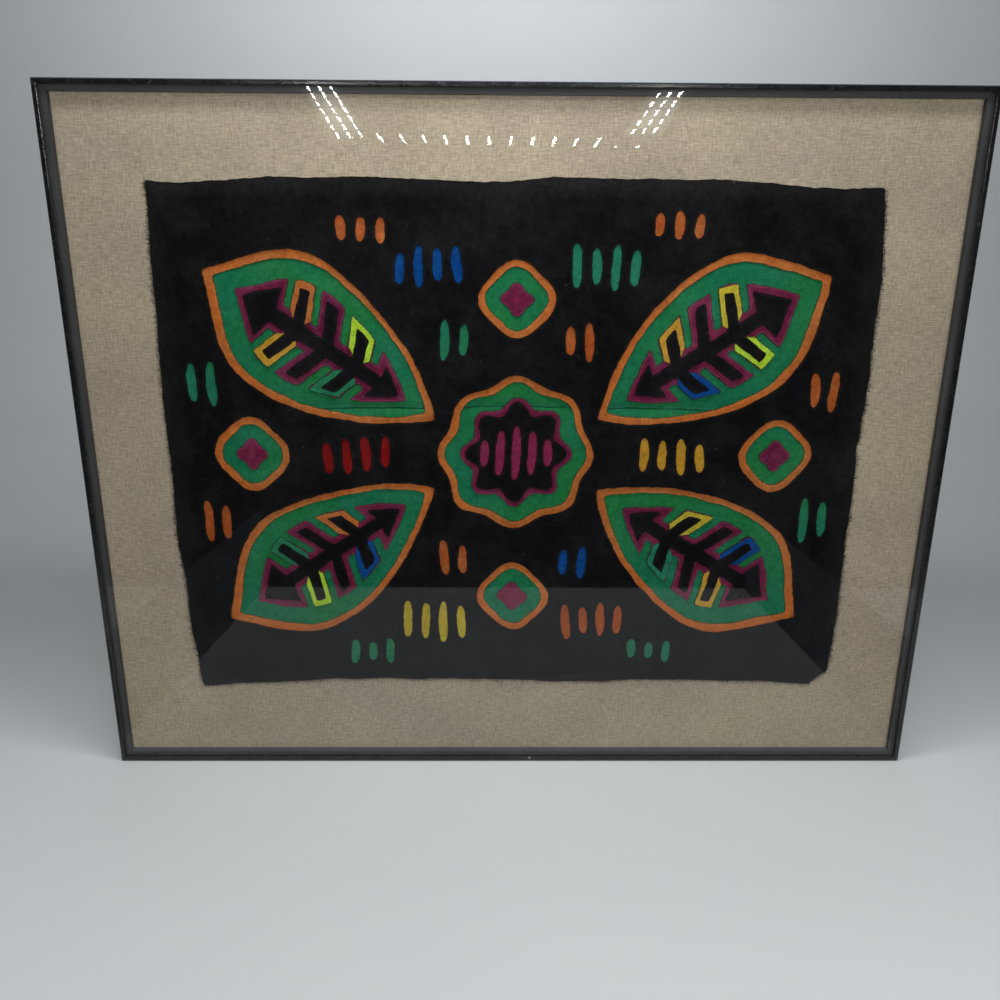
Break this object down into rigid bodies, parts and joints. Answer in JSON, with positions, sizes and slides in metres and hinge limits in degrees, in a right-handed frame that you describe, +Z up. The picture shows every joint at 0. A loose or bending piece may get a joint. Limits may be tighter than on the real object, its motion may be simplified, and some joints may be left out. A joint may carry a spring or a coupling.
{
  "type": "framed mola panel",
  "caption": "Reverse-applique cotton panel of leaves, a flower and slits, sewn on linen behind glass, in a narrow black metal frame that stands on its bottom rail.",
  "frame": {"origin": "middle of the foot, the flat underside of the bottom rail, half way between front and back", "axes": "+Z up, +X along the frame's width, +Y from the glass to the back, so the picture side faces -Y"},
  "size_m": [0.514, 0.032, 0.412],
  "materials": {
    "frame_lacquer": "glossy near-black lacquer with light scuffs",
    "spacer_strip": "matt dark grey",
    "clear_glass": "clear, polished",
    "fibre_board": "raw brown fibre",
    "linen": "plain weave, natural beige with slubs",
    "black_cotton": "plain weave",
    "green_cotton": "plain weave",
    "orange_cotton": "plain weave",
    "magenta_cotton": "plain weave",
    "blue_cotton": "plain weave",
    "jade_cotton": "plain weave",
    "yellow_cotton": "plain weave",
    "gold_cotton": "plain weave",
    "red_cotton": "plain weave"
  },
  "bodies": {
    "root": {"rail_top": "frame_lacquer", "rail_bottom": "frame_lacquer", "rail_left": "frame_lacquer", "rail_right": "frame_lacquer", "spacer_top": "spacer_strip", "spacer_bottom": "spacer_strip", "spacer_left": "spacer_strip", "spacer_right": "spacer_strip", "glass_pane": "clear_glass", "linen_cover": "linen", "mount_board": "fibre_board", "top_cloth": "black_cotton", "orange_cloth": "orange_cotton", "green_cloth_upper": "green_cotton", "green_cloth_lower": "green_cotton", "leaf_upper_right": "black_cotton", "leaf_upper_right_edging": "magenta_cotton", "leaf_upper_left": "black_cotton", "leaf_upper_left_edging": "magenta_cotton", "leaf_lower_right": "black_cotton", "leaf_lower_right_edging": "magenta_cotton", "leaf_lower_left": "black_cotton", "leaf_lower_left_edging": "magenta_cotton", "flower": "black_cotton", "flower_edging": "magenta_cotton", "bud_top": "magenta_cotton", "bud_bottom": "magenta_cotton", "bud_left": "magenta_cotton", "bud_right": "magenta_cotton", "patch_01_blue": "blue_cotton", "patch_02_jade": "jade_cotton", "patch_03_yellow": "yellow_cotton", "patch_04_jade": "jade_cotton", "patch_05_jade": "jade_cotton", "patch_06_red": "red_cotton", "patch_07_gold": "gold_cotton", "patch_08_jade": "jade_cotton", "patch_09_blue": "blue_cotton", "patch_10_jade": "jade_cotton", "patch_11_jade": "jade_cotton"}
  },
  "joints": []
}
